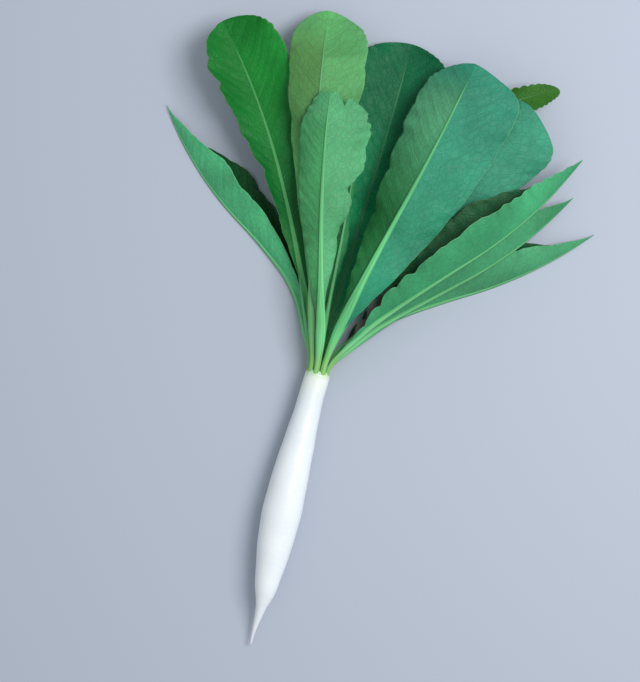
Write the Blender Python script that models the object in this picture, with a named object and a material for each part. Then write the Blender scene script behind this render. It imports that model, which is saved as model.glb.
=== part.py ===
"""A daikon radish lying on its side: one white root and its head of twelve leaves.

Frame: metres, +Z up. The origin is the middle of the small flat spot under the root's belly, on the
surface that the radish lies on. +Y runs along the root from its tail to its leaves, and +X is to the
right of that. Angles seen along +Y turn from +X towards +Z.
"""

from dataclasses import dataclass

import bmesh
import bpy
import numpy as np

# Root
ROOT_LENGTH = 0.262
BELLY_RADIUS = 0.0182
BELLY_AT = 0.127
BELLY_SINK = 0.0006
ROOT_BOW = 0.0035
TAIL_BEND = 0.004
TAIL_DROP = 0.011
TAIL_START = 0.80
ROOT_SIDES = 24
# Share of the root's length from the crown, and radius there as a share of the belly's.
ROOT_PROFILE = (
    (0.000, 0.570), (0.007, 0.625), (0.025, 0.640), (0.080, 0.650), (0.160, 0.705),
    (0.250, 0.800), (0.345, 0.905), (0.430, 0.975), (0.490, 1.000), (0.560, 0.975),
    (0.620, 0.910), (0.680, 0.815), (0.740, 0.680), (0.795, 0.545), (0.830, 0.400),
    (0.860, 0.285), (0.900, 0.190), (0.945, 0.105), (1.000, 0.040),
)

# Leaves
CROWN_GAP = 0.0003
BLADE_THICKNESS = 0.0008
PETIOLE_HALF_WIDTH = 0.0024
PETIOLE_DEPTH = 0.0023
PETIOLE_SHARE = 0.10
PETIOLE_STATIONS = (0.0, 0.25, 0.6)
RIB_FOLD = 82
LEAST_INNER = 0.0024
STATIONS_PER_LOBE = 3
TIP_HALF_WIDTH = 0.0010
LATERAL_STEPS = 10
# Shares of a leaf's length at which its heading and its pitch are given.
BEND_AT = (0.0, 0.05, 0.20, 0.35, 0.55, 1.0)

# Stacking: a height map of what lies below, the clearance over it, the distances from the crown
# between which a leaf becomes free to rise, and the share of a leaf that its rise is smoothed over.
MAP_CORNER = (-0.30, -0.20)
MAP_CELLS = (350, 400)
CELL = 0.002
LEAF_GAP = 0.0016
FLOOR_GAP = 0.0001
LIFT_FROM = 0.022
LIFT_FULL = 0.060
LIFT_SMOOTHING = 0.06
FINE_STEPS = 240


@dataclass
class Leaf:
    """One leaf. Angles are in degrees, lengths in metres.

    seat: angle round the crown, and distance from its middle, where the petiole stands.
    half_width: of the two halves of the blade; the first is on the left when the upper side is up.
    heading: turn to the right of +Y, and pitch: climb above level, both at the shares BEND_AT.
    face: where the upper side looks, as an angle seen along the leaf, on the blade and at its tip.
    fold: angle between that and each half of the blade, 90 when the blade is flat.
    curl: how much each half opens further between the midrib and the edge.
    peak: share of the blade's length at its widest.
    point: of each half, 0.5 for a round tip, 1 for a sharp one, more for a drawn out one.
    fullness: how late each half widens, 1 for a steady growth from the petiole.
    blunt: width of the tip as a share of the widest; notch: depth of the dent in it.
    lobes: how many each edge has; lobe_depth: of the cuts between them, in the two halves, as a share.
    sweep: how far each edge is drawn towards the tip, as a share of the half width.
    settle: share of the length over which the petiole turns from its seat to the blade's face.
    hinge: how far the second half (or the first, if negative) keeps its slope as the fold opens
        at the tip, 1 for fully.
    """

    name: str
    seat: tuple
    length: float
    half_width: tuple
    heading: tuple
    pitch: tuple
    face: tuple
    fold: float
    curl: float = 6.0
    peak: float = 0.84
    point: tuple = (0.5, 0.5)
    fullness: tuple = (1.05, 1.05)
    blunt: float = 0.0
    notch: float = 0.0
    lobes: int = 8
    lobe_depth: tuple = (0.07, 0.07)
    sweep: tuple = (0.30, 0.30)
    settle: float = 0.28
    hinge: float = 0.0
    ruffle: float = 0.0015
    stout: float = 1.0


# From the lowest leaf to the one on top: each rests on those before it.
LEAVES = (
    Leaf("leaf_back_middle", (262, 0.0086), 0.320, (0.046, 0.044), (0, 2, 4, 4, 4, 2),
         (0, -12, -6, 0, 0, 4), (92, 92), 74, ruffle=0.0020),
    Leaf("leaf_right_low", (302, 0.0086), 0.290, (0.046, 0.032), (0, 33, 48, 58, 61, 42),
         (0, -11, -5, 0, 0, 2), (166, 162), 18, curl=-8, peak=0.58, point=(2.4, 1.35),
         fullness=(0.95, 0.95), lobes=7,
         sweep=(0.0, 0.1), hinge=0.85),
    Leaf("leaf_right_middle", (342, 0.0086), 0.285, (0.038, 0.036), (0, 36, 44, 49, 49, 30),
         (0, -3, -4, 0, 0, 2), (164, 160), 18, curl=-8, peak=0.58, point=(2.4, 1.1),
         fullness=(0.95, 0.95), lobes=7, sweep=(0.0, 0.15),
         settle=0.2, hinge=0.85),
    Leaf("leaf_left_low", (222, 0.0086), 0.290, (0.0335, 0.038), (0, -26, -28, -50, -57, -33),
         (0, -14, -9, -4, 0, 2), (24, 22), 20, curl=-6, peak=0.60, point=(1.4, 2.6),
         fullness=(1.4, 1.45), lobes=7, sweep=(0.1, 0.0), hinge=-0.85),
    Leaf("leaf_left_dark", (182, 0.0086), 0.335, (0.036, 0.044), (0, -16, -22, -24, -27, -40),
         (0, 2, 3, 2, 1, 5), (76, 84), 64, fullness=(1.7, 0.9), ruffle=0.0025),
    Leaf("leaf_tip_right", (270, 0.0022), 0.362, (0.013, 0.017), (0, 10, 14, 17, 18, 72),
         (0, 2, 1, 1, 1, 3), (95, 95), 66, lobes=9, lobe_depth=(0.35, 0.35), stout=0.8),
    Leaf("leaf_right_broad", (30, 0.0022), 0.315, (0.050, 0.034), (0, 15, 21, 25, 28, 32),
         (0, 9, 5, 2, 0, -4), (275, 275), 76, fullness=(2.2, 1.05), lobe_depth=(0.03, 0.05),
         stout=0.8),
    Leaf("leaf_right_upper", (22, 0.0086), 0.312, (0.044, 0.0365), (0, 30, 41, 44, 45, 25),
         (0, 8, -1, -1, 0, 2), (158, 154), 21, curl=-2, peak=0.58, point=(2.2, 0.95),
         fullness=(0.95, 0.75), sweep=(0.0, 0.15), settle=0.16, hinge=0.85),
    Leaf("leaf_heart", (150, 0.0022), 0.206, (0.012, 0.012), (0, -3, -2, -2, -2, -4),
         (0, 5, 5, 4, 3, 2), (260, 255), 38, peak=0.6, point=(0.8, 0.8), lobes=5,
         lobe_depth=(0.20, 0.20), stout=0.7),
    Leaf("leaf_back_left", (142, 0.0086), 0.335, (0.042, 0.032), (0, -14, -14, -12, -10, -6),
         (0, 9, 5, 0, -2, -5), (272, 270), 74, fullness=(1.05, 1.6), lobe_depth=(0.05, 0.05)),
    Leaf("leaf_front_right", (62, 0.0086), 0.321, (0.056, 0.044), (0, 8, 14, 15, 16, 12),
         (0, 14, 8, 0, -4, -13), (282, 284), 68, fullness=(0.95, 1.15), lobes=9,
         lobe_depth=(0.02, 0.09), sweep=(0.30, 0.06), stout=1.15),
    Leaf("leaf_front_middle", (102, 0.0086), 0.257, (0.042, 0.028), (0, -6, -13, -13, -12, -6),
         (0, 16, 9, 1, -4, -15), (280, 282), 66, peak=0.80, fullness=(1.8, 1.05), lobes=7,
         lobe_depth=(0.20, 0.03), blunt=0.5, notch=0.003, stout=1.15),
)

# Colours in linear RGB, with roughness
ROOT_COLOUR = (0.87, 0.93, 0.96, 1.0)
ROOT_ROUGHNESS = 0.35
PALE_LEAF_COLOUR = (0.07, 0.36, 0.18, 1.0)
DARK_LEAF_COLOUR = (0.02, 0.15, 0.06, 1.0)
LEAF_ROUGHNESS = 0.5
DARK_LEAVES = ("leaf_back_middle", "leaf_left_dark", "leaf_tip_right")


def hermite(x, knots, values):
    """A smooth curve through the knots, with the slope at each taken from its two neighbours."""
    knots, values = np.asarray(knots, float), np.asarray(values, float)
    slopes = np.gradient(values, knots)
    i = np.clip(np.searchsorted(knots, x, side="right") - 1, 0, len(knots) - 2)
    span = knots[i + 1] - knots[i]
    t = (x - knots[i]) / span
    return (
        values[i] * (1 + 2 * t) * (1 - t) ** 2
        + slopes[i] * span * t * (1 - t) ** 2
        + values[i + 1] * t * t * (3 - 2 * t)
        + slopes[i + 1] * span * t * t * (t - 1)
    )


def smoothstep(x):
    x = np.clip(x, 0.0, 1.0)
    return x * x * (3 - 2 * x)


def turned(angle):
    """The direction (cos, sin) of an angle in radians, with the pair on the last axis."""
    return np.stack([np.cos(angle), np.sin(angle)], axis=-1)


def root_axis(share):
    """Points of the root's bent centre line, at shares of its length from the crown."""
    bow = ROOT_BOW * (np.sin(np.pi * BELLY_AT / ROOT_LENGTH) - np.sin(np.pi * share))
    tail = smoothstep((share - TAIL_START) / (1 - TAIL_START))
    x = bow - TAIL_BEND * tail
    y = BELLY_AT - share * ROOT_LENGTH
    z = BELLY_RADIUS - BELLY_SINK - TAIL_DROP * tail
    return np.stack([x, y, z], axis=-1)


def root_rings():
    """Rings of the root from the crown to the tail, at the profile's points and midway between them."""
    knots, radii = zip(*ROOT_PROFILE)
    share = np.sort(np.concatenate([knots, (np.array(knots[1:]) + knots[:-1]) / 2]))
    radius = BELLY_RADIUS * hermite(share, knots, radii)
    around = turned(np.arange(ROOT_SIDES) * 2 * np.pi / ROOT_SIDES - np.pi / 2)
    rings = np.repeat(root_axis(share)[:, None, :], ROOT_SIDES, axis=1)
    rings[:, :, [0, 2]] += radius[:, None, None] * around
    return rings


def stations(leaf):
    """Shares of the leaf's length at its cross sections, closer together towards the tip."""
    petiole = PETIOLE_SHARE * np.array(PETIOLE_STATIONS)
    blade = blade_share(np.linspace(0, 1, STATIONS_PER_LOBE * leaf.lobes + 1))
    return np.concatenate([petiole, blade])


def blade_share(step):
    """Share of the leaf's length at an even step along the blade, from 0 at its foot to 1 at its tip."""
    return PETIOLE_SHARE + (1 - PETIOLE_SHARE) * (0.15 * step + 0.85 * np.sin(step * np.pi / 2))


def blade_step(share):
    """The even step along the blade at a share of the leaf's length, the inverse of blade_share."""
    fine = np.linspace(0, 1, 201)
    return np.interp(share, blade_share(fine), fine)


def midrib(leaf, share):
    """Points along the midrib, its direction, the level side direction and the one above, at shares."""
    fine = np.linspace(0, 1, FINE_STEPS + 1)
    heading = np.radians(np.interp(fine, BEND_AT, leaf.heading))
    pitch = np.radians(np.interp(fine, BEND_AT, leaf.pitch))
    along = np.stack(
        [np.sin(heading) * np.cos(pitch), np.cos(heading) * np.cos(pitch), np.sin(pitch)], axis=-1
    )
    steps = (along[1:] + along[:-1]) / 2 * leaf.length / FINE_STEPS
    angle, distance = np.radians(leaf.seat[0]), leaf.seat[1]
    start = root_axis(0.0) + (distance * np.cos(angle), CROWN_GAP, distance * np.sin(angle))
    points = start + np.concatenate([np.zeros((1, 3)), np.cumsum(steps, axis=0)])
    side = np.stack([np.cos(heading), -np.sin(heading), np.zeros_like(heading)], axis=-1)
    above = np.cross(side, along)
    curves = (points, along, side, above)
    return [np.stack([np.interp(share, fine, v[:, i]) for i in range(3)], -1) for v in curves]


def past_peak(leaf, share):
    """How far along the part beyond the widest place, from 0 there to 1 at the tip."""
    along = np.clip((share - PETIOLE_SHARE) / (1 - PETIOLE_SHARE), 0, 1)
    return np.clip((along - leaf.peak) / (1 - leaf.peak), 0, 1)


def half_widths(leaf, share, hand):
    """Half width of the blade at shares of the leaf's length, with its lobes, for one of its halves."""
    along = np.clip((share - PETIOLE_SHARE) / (1 - PETIOLE_SHARE), 0, 1)
    rise = np.sin(np.pi / 2 * np.clip(along / leaf.peak, 0, 1) ** leaf.fullness[hand])
    narrowing = (1 - (1 - leaf.blunt**2) * past_peak(leaf, share) ** 2) ** leaf.point[hand]
    step = leaf.lobes * blade_step(share)
    wave = np.abs(np.sin(np.pi * (step + hand / STATIONS_PER_LOBE)))
    uneven = 1.2 + 0.6 * np.sin(2.4 * step + leaf.seat[0] + hand)
    cuts = leaf.lobe_depth[hand] * uneven * (1 - wave) * smoothstep((0.98 - along) / 0.35)
    return leaf.half_width[hand] * rise * narrowing * (1 - cuts)


def petiole_half_width(leaf, share):
    """Half width of the stalk and midrib: narrow in the crown, swelling, then tapering to the tip."""
    form = hermite(share, (0, 0.04, 0.12, 0.3, 0.65, 1.0), (1.0, 1.05, 1.6, 1.0, 0.5, 0.18))
    return leaf.stout * PETIOLE_HALF_WIDTH * form


@dataclass
class Course:
    """What a leaf's cross sections need at each station, worked out once from its shares."""

    share: np.ndarray
    centre: np.ndarray
    along: np.ndarray
    side: np.ndarray
    above: np.ndarray
    face: np.ndarray
    fold: np.ndarray
    curl: np.ndarray
    rib: np.ndarray
    inner: np.ndarray
    width: tuple


def course(leaf, share):
    """The course of a leaf at shares of its length."""
    centre, along, side, above = midrib(leaf, share)
    seat_face = leaf.seat[0] + (180 if leaf.seat[0] < leaf.face[0] else -180)
    face = seat_face + (leaf.face[0] - seat_face) * smoothstep(share / leaf.settle)
    face = np.radians(face + (leaf.face[1] - leaf.face[0]) * smoothstep((share - 0.3) / 0.7))
    curl = np.radians(leaf.curl) * smoothstep((share - 0.05) / 0.25)
    rib = petiole_half_width(leaf, share)
    least = np.maximum(rib * 1.02 * (1 - 0.9 * smoothstep((share - 0.9) / 0.1)), TIP_HALF_WIDTH)
    width = tuple(np.maximum(half_widths(leaf, share, hand), least) for hand in (0, 1))
    inner = np.minimum(np.maximum(rib, LEAST_INNER), 0.45 * np.minimum(*width))
    fold = np.radians(RIB_FOLD + (leaf.fold - RIB_FOLD) * smoothstep((share - 0.03) / 0.22))
    opened = np.maximum(np.arcsin(np.clip(0.8 * BLADE_THICKNESS / inner, 0, 1)) - fold, 0)
    face, fold = face + leaf.hinge * opened, fold + opened
    return Course(share, centre, along, side, above, face, fold, curl, rib, inner, width)


def blade_points(leaf, way, hand, distance, lower):
    """Points at a distance from the midrib on one half of the blade, on its upper or lower side."""
    sign = -1 if hand else 1
    width = way.width[hand]
    u = distance / width
    bend = way.fold + way.curl * u / 2
    flat = (distance * np.sinc(way.curl * u / 2 / np.pi))[:, None] * turned(way.face + sign * bend)
    facing = turned(way.face + sign * (way.fold + way.curl * u - np.pi / 2))
    wave = np.sin(np.pi * leaf.lobes * blade_step(way.share) + 1.1 * hand + leaf.seat[0])
    past = past_peak(leaf, way.share)
    ripple = leaf.ruffle * wave * u**2 * smoothstep((way.share - 0.15) / 0.3) * (1 - past**2)
    bulge = way.rib * PETIOLE_DEPTH / PETIOLE_HALF_WIDTH
    bulge = bulge * np.sqrt(np.clip(1 - (distance / way.rib) ** 2, 0, 1))
    offset = -BLADE_THICKNESS / 2 - bulge if lower else BLADE_THICKNESS / 2
    flat = flat + (ripple + offset)[:, None] * facing
    ahead = leaf.sweep[hand] * width * u**2 * (1 - past**2)
    front = leaf.notch * np.sin(np.pi * u) - 0.2 * leaf.blunt * width * u**2
    ahead = ahead + past**3 * front
    return in_space(way, flat, ahead)


def middle_points(way, lower):
    """Points on the midrib itself, in the groove of the upper side or on the ridge of the lower."""
    if lower:
        height = -BLADE_THICKNESS / 2 - way.rib * PETIOLE_DEPTH / PETIOLE_HALF_WIDTH
    else:
        height = BLADE_THICKNESS / 2 / np.sin(way.fold)
    return in_space(way, height[:, None] * turned(way.face), 0 * height)


def in_space(way, flat, ahead):
    """Points given across the leaf and ahead of each station, in the frame of the part."""
    return way.centre + way.side * flat[:, :1] + way.above * flat[:, 1:] + way.along * ahead[:, None]


def leaf_rings(leaf):
    """Closed cross sections of the leaf: 7 points on the upper side, then 7 back along the lower."""
    way = course(leaf, stations(leaf))
    ring = {}
    for lower in (False, True):
        sides = []
        for hand in (0, 1):
            width = way.width[hand]
            places = (width, (width + way.inner) / 2, way.inner)
            sides.append([blade_points(leaf, way, hand, place, lower) for place in places])
        ring[lower] = sides[0] + [middle_points(way, lower)] + sides[1][::-1]
    return np.stack(ring[False] + ring[True][::-1], axis=1)


def refined(rings):
    """The lofted surface as points: the rings with more in between, both ways."""
    rings = np.concatenate([rings, rings[:, :1]], axis=1)
    for axis, count in ((0, LATERAL_STEPS), (1, LATERAL_STEPS)):
        rings = np.moveaxis(rings, axis, 0)
        mix = np.linspace(0, 1, count, endpoint=False).reshape(-1, *[1] * rings.ndim)
        between = rings[:-1] * (1 - mix) + rings[1:] * mix
        last = rings[-1:]
        rings = np.concatenate([np.moveaxis(between, 0, 1).reshape(-1, *rings.shape[1:]), last])
        rings = np.moveaxis(rings, 0, axis)
    return rings


def spread(values, reach, how):
    """Each value replaced by the highest or the mean of those within reach of it."""
    ends = [(0, 0)] * (values.ndim - 1) + [(reach, reach)]
    padded = np.pad(values, ends, mode="edge")
    windows = np.lib.stride_tricks.sliding_window_view(padded, 2 * reach + 1, axis=-1)
    return how(windows, axis=-1)


def stacked(leaves):
    """Rings of every leaf, each lifted station by station until it lies on the leaves before it."""
    ground = np.zeros(MAP_CELLS)
    even = np.linspace(0, 1, FINE_STEPS + 1)
    reach = round(LIFT_SMOOTHING * FINE_STEPS)
    found = {}
    for leaf in leaves:
        rings, share = leaf_rings(leaf), stations(leaf)
        points = refined(rings)
        cell = ((points[..., :2] - MAP_CORNER) / CELL).astype(int)
        cell = (cell[..., 0], cell[..., 1])
        around = spread(spread(ground, 1, np.max).T, 1, np.max).T
        below = around[cell]
        clear = below + np.where(below > 0, LEAF_GAP, FLOOR_GAP)
        need = np.maximum((clear - points[..., 2]).max(axis=1), 0)
        at = np.interp(np.linspace(0, 1, len(need)), np.linspace(0, 1, len(share)), share)
        lift = spread(spread(np.interp(even, at, need), reach, np.max), reach, np.mean)
        lift *= smoothstep((even * leaf.length - LIFT_FROM) / (LIFT_FULL - LIFT_FROM))
        rings[..., 2] += np.interp(share, even, lift)[:, None]
        points[..., 2] += np.interp(at, even, lift)[:, None]
        np.maximum.at(ground, cell, points[..., 2])
        found[leaf.name] = rings
    return found


def material(name, colour, roughness):
    """A Principled BSDF with one colour."""
    made = bpy.data.materials.new(name)
    made.use_nodes = True
    shader = made.node_tree.nodes["Principled BSDF"]
    shader.inputs["Base Color"].default_value = colour
    shader.inputs["Roughness"].default_value = roughness
    made.diffuse_color = colour
    return made


def loft(rings):
    """A closed bmesh through the rings, in triangles cut the same way on every side of it."""
    bm = bmesh.new()
    rows = [[bm.verts.new(point) for point in ring] for ring in rings]
    count = len(rows[0])
    for near, far in zip(rows, rows[1:]):
        for i in range(count):
            j = (i + 1) % count
            bm.faces.new((near[i], near[j], far[j]))
            bm.faces.new((near[i], far[j], far[i]))
    bm.faces.new(rows[0][::-1])
    bm.faces.new(rows[-1])
    bmesh.ops.recalc_face_normals(bm, faces=bm.faces)
    return bm


def leaf_loft(rings):
    """The leaf's closed bmesh. Facing quads of the two sides share a diagonal, so the sides never cross."""
    bm = bmesh.new()
    rows = [[bm.verts.new(point) for point in ring] for ring in rings]
    count = len(rows[0])
    half = count // 2
    for near, far in zip(rows, rows[1:]):
        for i in range(count):
            j = (i + 1) % count
            if i < half:
                bm.faces.new((near[i], near[j], far[j]))
                bm.faces.new((near[i], far[j], far[i]))
            else:
                bm.faces.new((near[i], near[j], far[i]))
                bm.faces.new((near[j], far[j], far[i]))
    for row in (rows[0][::-1], rows[-1]):
        for i in range(half - 1):
            bm.faces.new((row[i], row[i + 1], row[count - 2 - i], row[count - 1 - i]))
    return bm


def placed(name, bm, finish):
    """The bmesh as an object with its material, shaded smooth."""
    mesh = bpy.data.meshes.new(name)
    bm.to_mesh(mesh)
    bm.free()
    mesh.materials.append(finish)
    mesh.shade_smooth()
    made = bpy.data.objects.new(name, mesh)
    bpy.context.scene.collection.objects.link(made)
    return made


def root(finish):
    """The root, with a small flat spot cut where its belly meets the surface."""
    bm = loft(root_rings())
    cut = bmesh.ops.bisect_plane(
        bm, geom=bm.verts[:] + bm.edges[:] + bm.faces[:], plane_co=(0, 0, 0), plane_no=(0, 0, -1),
        clear_outer=True,
    )
    rim = [e for e in cut["geom_cut"] if isinstance(e, bmesh.types.BMEdge)]
    bmesh.ops.edgeloop_fill(bm, edges=rim)
    bmesh.ops.recalc_face_normals(bm, faces=bm.faces)
    return placed("taproot", bm, finish)


def main():
    for old in list(bpy.data.objects):
        bpy.data.objects.remove(old)
    root(material("root_skin", ROOT_COLOUR, ROOT_ROUGHNESS))
    pale = material("leaf_underside", PALE_LEAF_COLOUR, LEAF_ROUGHNESS)
    dark = material("leaf_upper_side", DARK_LEAF_COLOUR, LEAF_ROUGHNESS)
    for name, rings in stacked(LEAVES).items():
        placed(name, leaf_loft(rings), dark if name in DARK_LEAVES else pale)


main()
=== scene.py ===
"""Looks of a slim white daikon radish that lies on its side with its head of leaves.

The solid model is the frame. A fine root and twelve fine leaves stand in for its plain solids, worked
out from the same sizes by the same formulas, with veins, teeth, folds and skin that the solids leave
out. Metres, +Z up; +Y runs along the root from its tail to its leaves.
"""

from collections import namedtuple
from dataclasses import dataclass

import bpy
import numpy as np
from bpy.props import FloatProperty, FloatVectorProperty, PointerProperty
from mathutils import Matrix, Vector


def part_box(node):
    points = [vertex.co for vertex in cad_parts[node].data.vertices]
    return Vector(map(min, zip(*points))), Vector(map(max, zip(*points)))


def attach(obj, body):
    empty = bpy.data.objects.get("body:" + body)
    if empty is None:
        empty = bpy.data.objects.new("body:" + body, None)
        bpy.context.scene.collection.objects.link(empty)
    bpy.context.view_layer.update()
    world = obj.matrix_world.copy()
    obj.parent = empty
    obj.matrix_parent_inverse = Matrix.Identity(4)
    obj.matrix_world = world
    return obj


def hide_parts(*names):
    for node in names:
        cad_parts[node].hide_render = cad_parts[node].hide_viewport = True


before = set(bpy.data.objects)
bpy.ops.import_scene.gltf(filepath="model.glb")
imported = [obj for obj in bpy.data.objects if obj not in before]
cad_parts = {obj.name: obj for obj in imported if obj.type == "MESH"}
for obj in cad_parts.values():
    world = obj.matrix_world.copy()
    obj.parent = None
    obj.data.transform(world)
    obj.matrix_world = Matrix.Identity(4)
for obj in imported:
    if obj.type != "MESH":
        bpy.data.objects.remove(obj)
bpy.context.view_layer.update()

bl_info = {
    "name": "Daikon radish",
    "version": (1, 0, 0),
    "blender": (4, 5, 0),
    "location": "View3D > Sidebar > Daikon",
    "description": "Dresses the solid model of a daikon radish with skin, veins and light",
    "category": "Object",
}

# Root, as in the solid model
ROOT_LOW, ROOT_HIGH = (np.array(corner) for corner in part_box("taproot"))
ROOT_LENGTH = 0.262
BELLY_RADIUS = 0.0182
BELLY_AT = 0.127
BELLY_SINK = 0.0006
ROOT_BOW = 0.0035
TAIL_BEND = 0.004
TAIL_DROP = 0.011
TAIL_START = 0.80
ROOT_PROFILE = (
    (0.000, 0.570), (0.007, 0.625), (0.025, 0.640), (0.080, 0.650), (0.160, 0.705),
    (0.250, 0.800), (0.345, 0.905), (0.430, 0.975), (0.490, 1.000), (0.560, 0.975),
    (0.620, 0.910), (0.680, 0.815), (0.740, 0.680), (0.795, 0.545), (0.830, 0.400),
    (0.860, 0.285), (0.900, 0.190), (0.945, 0.105), (1.000, 0.040),
)
ROOT_ROWS = 520
ROOT_SIDES = 144
CROWN_DOME = 0.0024
CROWN_ROWS = 24
SCAR_COUNT = 34
SCAR_SPAN = (0.16, 0.86)
SCAR_LENGTH = 0.0007
SCAR_WIDTHS = (0.0012, 0.0026)
CREASE_DEPTH = 0.00007
TAIL_POINT = 0.0003
CREAM = (0.86, 0.90, 0.70)
# Painted shade: the skin is darkened towards the crown by this factor
NECK_PAINTED_SHADE = (0.915, 0.935, 0.945)

# Leaves, as in the solid model
CROWN_GAP = 0.0003
BLADE_THICKNESS = 0.0008
PETIOLE_HALF_WIDTH = 0.0024
PETIOLE_DEPTH = 0.0023
PETIOLE_SHARE = 0.10
PETIOLE_STATIONS = (0.0, 0.25, 0.6)
RIB_FOLD = 82
LEAST_INNER = 0.0024
STATIONS_PER_LOBE = 3
TIP_HALF_WIDTH = 0.0010
LATERAL_STEPS = 10
BEND_AT = (0.0, 0.05, 0.20, 0.35, 0.55, 1.0)
MAP_CORNER = (-0.30, -0.20)
MAP_CELLS = (350, 400)
CELL = 0.002
LEAF_GAP = 0.0016
FLOOR_GAP = 0.0001
LIFT_FROM = 0.022
LIFT_FULL = 0.060
LIFT_SMOOTHING = 0.06
FINE_STEPS = 240
EVEN = np.linspace(0, 1, FINE_STEPS + 1)
OPENING = 0.8

# Fine leaf surfaces
STALK_ROWS = 34
BLADE_ROWS = 220
RIB_COLUMNS = (0.25, 0.5, 0.75, 0.92, 1.0)
BLADE_COLUMNS = 26
STALK_SUNK = 0.0040
SHEET_THICKNESS = 0.00052
FINE_TIP_HALF_WIDTH = 0.0004
GROOVE_DEPTH = 0.30
TEETH_PER_LOBE = 3
TOOTH_DEPTH = 0.0014
FOOT_LOBES = 15
FOOT_LOBE_DEPTH = 0.0060
FOOT_LOBES_END = 0.44
RAGGED_LOBES = 6.3
CLEFT_AT = 0.62
CLEFT_SPREAD = 0.17
CLEFT_DEPTH = 0.0135
BOW = 0.0018
CRINKLE = 0.0008
SWELL = 0.0005
VEIN_SLANT = 0.75
VEIN_CURVE = 4.0
LOWEST = 0.0002
TOOTH_SEED, VEIN_SEED, RAGGED_SEED, SWELL_SEED, TINT_SEED, CRINKLE_SEED = 0, 5, 7, 11, 31, 41

# Tints of the leaves, and the shares of their length where they change
PLAIN = (1.0, 1.0, 1.0)
BROWN_FLUSH = (4.2, 0.55, 1.3)
FLUSH_END = 0.34
HIGH_FROM = 0.45
TIP_FADE_END = 0.99
# Rims: a pale painted highlight along the undersides' edges, a brown edge on the upper sides
RIM_HIGHLIGHT_UNDER = (0.22, 0.48, 0.24)
RIM_UPPER = (0.20, 0.13, 0.07)
UV_ACROSS = 0.2
UV_ALONG = 0.4

# View of the photograph: straight down, turned so that the root leans
CAMERA_TURN = 13.0
CAMERA_HEIGHT = 1.9
IMAGE_SIZE = (640, 682)
CROWN_PIXEL = (318, 372)
METRES_PER_PIXEL = 0.00093
SENSOR = 36.0

# Floor and light
FLOOR_HALF_SIZE = 12.0
FLOOR_DROP = 0.0001
LIGHT_TARGET = (0.04, 0.2, 0.02)
LIGHT_OFFSET = (0.72, 0.45, 1.45)
LIGHT_SIZE = 0.9
SKY_COLOUR = (0.93, 0.97, 1.0, 1.0)


@dataclass
class Leaf:
    """One leaf. Angles are in degrees, lengths in metres.

    seat: angle round the crown, and distance from its middle, where the petiole stands.
    half_width: of the two halves of the blade; the first is on the left when the upper side is up.
    heading: turn to the right of +Y, and pitch: climb above level, both at the shares BEND_AT.
    face: where the upper side looks, as an angle seen along the leaf, on the blade and at its tip.
    fold: angle between that and each half of the blade, 90 when the blade is flat.
    curl: how much each half opens further between the midrib and the edge.
    peak: share of the blade's length at its widest.
    point: of each half, 0.5 for a round tip, 1 for a sharp one, more for a drawn out one.
    fullness: how late each half widens, 1 for a steady growth from the petiole.
    blunt: width of the tip as a share of the widest; notch: depth of the dent in it.
    lobes: how many each edge has; lobe_depth: of the cuts between them, in the two halves, as a share.
    sweep: how far each edge is drawn towards the tip, as a share of the half width.
    settle: share of the length over which the petiole turns from its seat to the blade's face.
    hinge: how far the second half (or the first, if negative) keeps its slope as the fold opens
        at the tip, 1 for fully.
    ruffle: height of the waves along each edge; stout: thickness of the stalk, 1 for the usual one.
    under, upper and rib: tints of the two sides and of the stalk; second: of the second half again, low
        down and high up, fading out at the tip; low: of both halves again, low down. On some leaves
        second and low also hold painted light and shade.
    ragged: depth of the larger uneven lobes of each edge.
    flush: how much of the brown flush the upper side has near the crown.
    """

    name: str
    seat: tuple
    length: float
    half_width: tuple
    heading: tuple
    pitch: tuple
    face: tuple
    fold: float
    curl: float = 6.0
    peak: float = 0.84
    point: tuple = (0.5, 0.5)
    fullness: tuple = (1.05, 1.05)
    blunt: float = 0.0
    notch: float = 0.0
    lobes: int = 8
    lobe_depth: tuple = (0.07, 0.07)
    sweep: tuple = (0.30, 0.30)
    settle: float = 0.28
    hinge: float = 0.0
    ruffle: float = 0.0015
    stout: float = 1.0
    under: tuple = PLAIN
    upper: tuple = PLAIN
    rib: tuple = PLAIN
    second: tuple = (PLAIN, PLAIN)
    low: tuple = PLAIN
    ragged: tuple = (0.0, 0.0)
    flush: float = 0.0


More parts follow.
